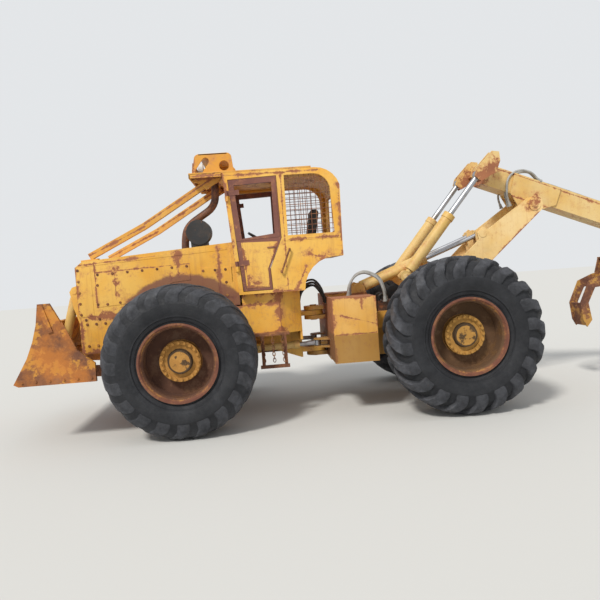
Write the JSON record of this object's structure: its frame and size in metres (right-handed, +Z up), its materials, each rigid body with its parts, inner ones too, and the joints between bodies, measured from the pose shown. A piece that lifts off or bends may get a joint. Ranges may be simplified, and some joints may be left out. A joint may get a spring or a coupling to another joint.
{
  "type": "skidder",
  "caption": "Articulated forestry skidder: caged cab, front blade, lugged tyres, and a rear arch with boom and hanging log grapple.",
  "frame": {"origin": "on the floor at the centre of the whole machine's outline", "axes": "-X towards the front blade, -Y towards the machine's own left side, +Z up"},
  "size_m": [8.574, 2.9, 3.255],
  "materials": {
    "yellow_paint": "faded and chalky, with rust at its edges",
    "rusty_steel": "rusted, with remains of yellow paint",
    "primer_paint": "dull red-brown primer",
    "tyre": "worn and dusty",
    "chrome_rod": "polished, slightly pitted",
    "dark_metal": "oily",
    "seat_vinyl": "worn",
    "lamp_glass": "clear"
  },
  "bodies": {
    "front": {"front_frame": "yellow_paint", "front_axle": "rusty_steel", "hood": "yellow_paint", "nose_guard": "yellow_paint", "engine": "dark_metal", "cab": "yellow_paint", "roof_guard": "yellow_paint", "window_guards": "rusty_steel", "exhaust": "rusty_steel", "air_cleaner": "dark_metal", "steps": "rusty_steel", "seat": "seat_vinyl", "console": "dark_metal", "lamps": "lamp_glass"},
    "left_door": {"door_left": "primer_paint"},
    "right_door": {"door_right": "primer_paint"},
    "blade": {"blade": "rusty_steel"},
    "blade_cylinders": {"blade_barrels": "yellow_paint"},
    "blade_pistons": {"blade_rods": "chrome_rod"},
    "wheel_fl": {"tyre_front_left": "tyre", "wheel_front_left": "rusty_steel"},
    "wheel_fr": {"tyre_front_right": "tyre", "wheel_front_right": "rusty_steel"},
    "wheel_rl": {"tyre_rear_left": "tyre", "wheel_rear_left": "rusty_steel"},
    "wheel_rr": {"tyre_rear_right": "tyre", "wheel_rear_right": "rusty_steel"},
    "rear": {"rear_frame": "yellow_paint", "rear_axle": "rusty_steel", "side_tanks": "yellow_paint", "valve_bank": "dark_metal"},
    "steer_cylinder_l": {"steer_barrel_left": "yellow_paint"},
    "steer_piston_l": {"steer_rod_left": "chrome_rod"},
    "steer_cylinder_r": {"steer_barrel_right": "yellow_paint"},
    "steer_piston_r": {"steer_rod_right": "chrome_rod"},
    "arch": {"arch": "yellow_paint"},
    "arch_cylinders": {"arch_barrels": "yellow_paint"},
    "arch_pistons": {"arch_rods": "chrome_rod"},
    "boom": {"boom": "yellow_paint"},
    "boom_cylinders": {"boom_barrels": "yellow_paint"},
    "boom_pistons": {"boom_rods": "chrome_rod"},
    "link": {"link": "rusty_steel"},
    "rotator": {"rotator": "rusty_steel"},
    "grapple": {"grapple_frame": "rusty_steel"},
    "tong_f": {"tong_front": "rusty_steel"},
    "tong_r": {"tong_rear": "rusty_steel"},
    "tong_cylinder": {"tong_barrel": "yellow_paint"},
    "tong_piston": {"tong_rod": "chrome_rod"}
  },
  "joints": [
    {"name": "steering", "type": "hinge", "parent": "front", "child": "rear", "pos_m": [-0.82704, 0, 0.965], "axis": [0, 0, 1], "range_deg": [-35, 35]},
    {"name": "steer_swing_l", "type": "hinge", "parent": "front", "child": "steer_cylinder_l", "pos_m": [-1.57704, -0.4, 0.83], "axis": [0, 0, 1], "range_deg": [-10, 10]},
    {"name": "steer_stroke_l", "type": "slide", "parent": "steer_cylinder_l", "child": "steer_piston_l", "axis": [0.9912, 0.1322, 0], "range_m": [-0.3, 0.3]},
    {"name": "steer_swing_r", "type": "hinge", "parent": "front", "child": "steer_cylinder_r", "pos_m": [-1.57704, 0.4, 0.83], "axis": [0, 0, 1], "range_deg": [-10, 10]},
    {"name": "steer_stroke_r", "type": "slide", "parent": "steer_cylinder_r", "child": "steer_piston_r", "axis": [0.9912, -0.1322, 0], "range_m": [-0.3, 0.3]},
    {"name": "door_left_hinge", "type": "hinge", "parent": "front", "child": "left_door", "pos_m": [-1.77174, -0.718, 2.2], "axis": [0.0686, 0, -0.9976], "range_deg": [0, 95]},
    {"name": "door_right_hinge", "type": "hinge", "parent": "front", "child": "right_door", "pos_m": [-1.77174, 0.718, 2.2], "axis": [-0.0686, 0, 0.9976], "range_deg": [0, 95]},
    {"name": "blade_lift", "type": "hinge", "parent": "front", "child": "blade", "pos_m": [-2.94704, 0, 0.72], "axis": [0, 1, 0], "range_deg": [-26, 3]},
    {"name": "blade_cyl_swing", "type": "hinge", "parent": "front", "child": "blade_cylinders", "pos_m": [-3.74704, 0, 1.7], "axis": [0, 1, 0], "range_deg": [-7.39, 1.29]},
    {"name": "blade_cyl_stroke", "type": "slide", "parent": "blade_cylinders", "child": "blade_pistons", "axis": [-0.2873, 0, -0.9578], "range_m": [-0.0583, 0.467]},
    {"name": "arch_hinge", "type": "hinge", "parent": "rear", "child": "arch", "pos_m": [0.82296, 0, 1.25], "axis": [0, 1, 0], "range_deg": [-20, 25]},
    {"name": "arch_cyl_swing", "type": "hinge", "parent": "rear", "child": "arch_cylinders", "pos_m": [-0.23704, 0, 1.465], "axis": [0, 1, 0], "range_deg": [-9.86, 12.2]},
    {"name": "arch_cyl_stroke", "type": "slide", "parent": "arch_cylinders", "child": "arch_pistons", "axis": [0.9391, 0, 0.3436], "range_m": [-0.1937, 0.2409]},
    {"name": "boom_hinge", "type": "hinge", "parent": "arch", "child": "boom", "pos_m": [2.10296, 0, 2.4], "axis": [0, 1, 0], "range_deg": [-20, 25]},
    {"name": "boom_cyl_swing", "type": "hinge", "parent": "arch", "child": "boom_cylinders", "pos_m": [0.34296, 0, 1.59], "axis": [0, 1, 0], "range_deg": [-2.48, 2.08]},
    {"name": "boom_cyl_stroke", "type": "slide", "parent": "boom_cylinders", "child": "boom_pistons", "axis": [0.6408, 0, 0.7677], "range_m": [-0.2843, 0.3541]},
    {"name": "link_swing", "type": "hinge", "parent": "boom", "child": "link", "pos_m": [3.50704, 0, 2.00814], "axis": [0, 1, 0], "range_deg": [-45, 45]},
    {"name": "cross_swing", "type": "hinge", "parent": "link", "child": "rotator", "pos_m": [3.50704, 0, 1.85814], "axis": [1, 0, 0], "range_deg": [-30, 30]},
    {"name": "rotator_turn", "type": "hinge", "parent": "rotator", "child": "grapple", "pos_m": [3.50704, 0, 1.60814], "axis": [0, 0, 1], "continuous": true},
    {"name": "tong_front_hinge", "type": "hinge", "parent": "grapple", "child": "tong_f", "pos_m": [3.20704, 0, 1.38014], "axis": [0, -1, 0], "range_deg": [0, 53]},
    {"name": "tong_rear_hinge", "type": "hinge", "parent": "grapple", "child": "tong_r", "pos_m": [3.80704, 0, 1.38014], "axis": [0, 1, 0], "range_deg": [0, 53]},
    {"name": "tong_cyl_swing", "type": "hinge", "parent": "tong_f", "child": "tong_cylinder", "pos_m": [3.24704, 0, 1.54514], "axis": [0, -1, 0], "range_deg": [-53.5, 0.5]},
    {"name": "tong_cyl_stroke", "type": "slide", "parent": "tong_cylinder", "child": "tong_piston", "axis": [1, 0, 0], "range_m": [-0.005, 0.36]},
    {"name": "roll_fl", "type": "hinge", "parent": "front", "child": "wheel_fl", "pos_m": [-2.42704, -1.14, 0.86], "axis": [0, 1, 0], "continuous": true},
    {"name": "roll_fr", "type": "hinge", "parent": "front", "child": "wheel_fr", "pos_m": [-2.42704, 1.14, 0.86], "axis": [0, 1, 0], "continuous": true},
    {"name": "roll_rl", "type": "hinge", "parent": "rear", "child": "wheel_rl", "pos_m": [0.77296, -1.14, 0.9], "axis": [0, 1, 0], "continuous": true},
    {"name": "roll_rr", "type": "hinge", "parent": "rear", "child": "wheel_rr", "pos_m": [0.77296, 1.14, 0.9], "axis": [0, 1, 0], "continuous": true}
  ],
  "couplings": [
    {"joint": "steer_swing_l", "follows": "steering", "ratio": -0.05},
    {"joint": "steer_stroke_l", "follows": "steering", "m_per_rad": 0.28},
    {"joint": "steer_swing_r", "follows": "steering", "ratio": -0.05},
    {"joint": "steer_stroke_r", "follows": "steering", "m_per_rad": -0.28},
    {"joint": "blade_cyl_swing", "follows": "blade_lift", "ratio": 0.265},
    {"joint": "blade_cyl_stroke", "follows": "blade_lift", "m_per_rad": -1.018},
    {"joint": "arch_cyl_swing", "follows": "arch_hinge", "ratio": 0.468},
    {"joint": "arch_cyl_stroke", "follows": "arch_hinge", "m_per_rad": 0.5407},
    {"joint": "boom_cyl_swing", "follows": "boom_hinge", "ratio": -0.079},
    {"joint": "boom_cyl_stroke", "follows": "boom_hinge", "m_per_rad": 0.8},
    {"joint": "tong_rear_hinge", "follows": "tong_front_hinge", "ratio": 1},
    {"joint": "tong_cyl_swing", "follows": "tong_front_hinge", "ratio": -1},
    {"joint": "tong_cyl_stroke", "follows": "tong_front_hinge", "m_per_rad": 0.32}
  ]
}
